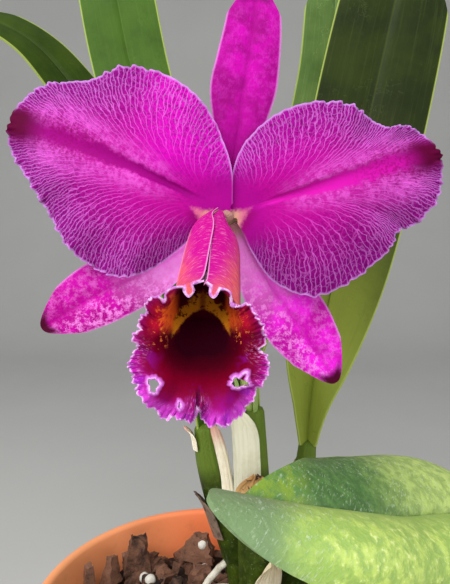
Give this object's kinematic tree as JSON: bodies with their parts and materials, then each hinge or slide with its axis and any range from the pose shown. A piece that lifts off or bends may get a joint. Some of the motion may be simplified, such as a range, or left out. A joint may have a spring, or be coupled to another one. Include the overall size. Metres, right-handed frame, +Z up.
{
  "type": "potted cattleya orchid",
  "caption": "Cattleya orchid in flower: a broad frilled bloom over strap leaves on ribbed pseudobulbs, rooted in bark in a round tapered pot.",
  "frame": {"origin": "centre of the pot's underside, on the surface that it stands on", "axes": "+Z up, the longest extent; the bloom faces -Y; +X is to the right of a viewer who faces the bloom"},
  "size_m": [0.2187, 0.1928, 0.3978],
  "materials": {
    "pot_plastic": "satin terracotta-orange moulded plastic with a faint orange-peel skin",
    "bark": "matte dark brown fir bark chips, rough and splintered, with a few pale prills",
    "rhizome": "matte olive-green woody rhizome with dry brown scales",
    "root": "matte silvery white velamen with a green tip",
    "pseudobulb": "satin green ribbed pseudobulb, lightly dusted",
    "leaf": "satin leathery green leaf with pale yellow-green margins",
    "paper_sheath": "matte cream papery sheath with fine lengthwise veins",
    "dry_sheath": "matte tan papery sheath with dark brown spots",
    "spathe": "satin yellow-green thin spathe",
    "flower_stem": "satin pale green smooth stem",
    "sepal": "satin magenta, mottled paler towards the edges, with dark tips",
    "petal": "satin magenta with a raised net of pale lilac veins and paler frilled margins",
    "lip": "velvety maroon to magenta with ochre throat marks and a pale crisped margin",
    "column": "satin white flushed pink",
    "anther_cap": "satin cream-white"
  },
  "bodies": {
    "root": {"pot": "pot_plastic", "bark_mix": "bark", "rhizome": "rhizome", "root_1": "root", "root_2": "root", "root_3": "root", "root_4": "root", "root_5": "root", "pseudobulb_left": "pseudobulb", "pseudobulb_middle": "pseudobulb", "pseudobulb_right": "pseudobulb", "pseudobulb_front": "pseudobulb", "pseudobulb_back": "pseudobulb", "leaf_left": "leaf", "leaf_middle": "leaf", "leaf_right": "leaf", "leaf_front": "leaf", "leaf_back": "leaf", "sheath_left_dry": "dry_sheath", "sheath_left_tip": "paper_sheath", "sheath_middle_white": "paper_sheath", "sheath_middle_brown": "dry_sheath", "sheath_middle_low": "paper_sheath", "sheath_right": "paper_sheath", "sheath_front": "paper_sheath", "sheath_back": "paper_sheath", "sheath_strip": "paper_sheath", "spathe": "spathe", "flower_stem": "flower_stem", "sepal_dorsal": "sepal", "sepal_left": "sepal", "sepal_right": "sepal", "petal_left": "petal", "petal_right": "petal", "lip": "lip", "column": "column", "anther_cap": "anther_cap"}
  },
  "joints": []
}
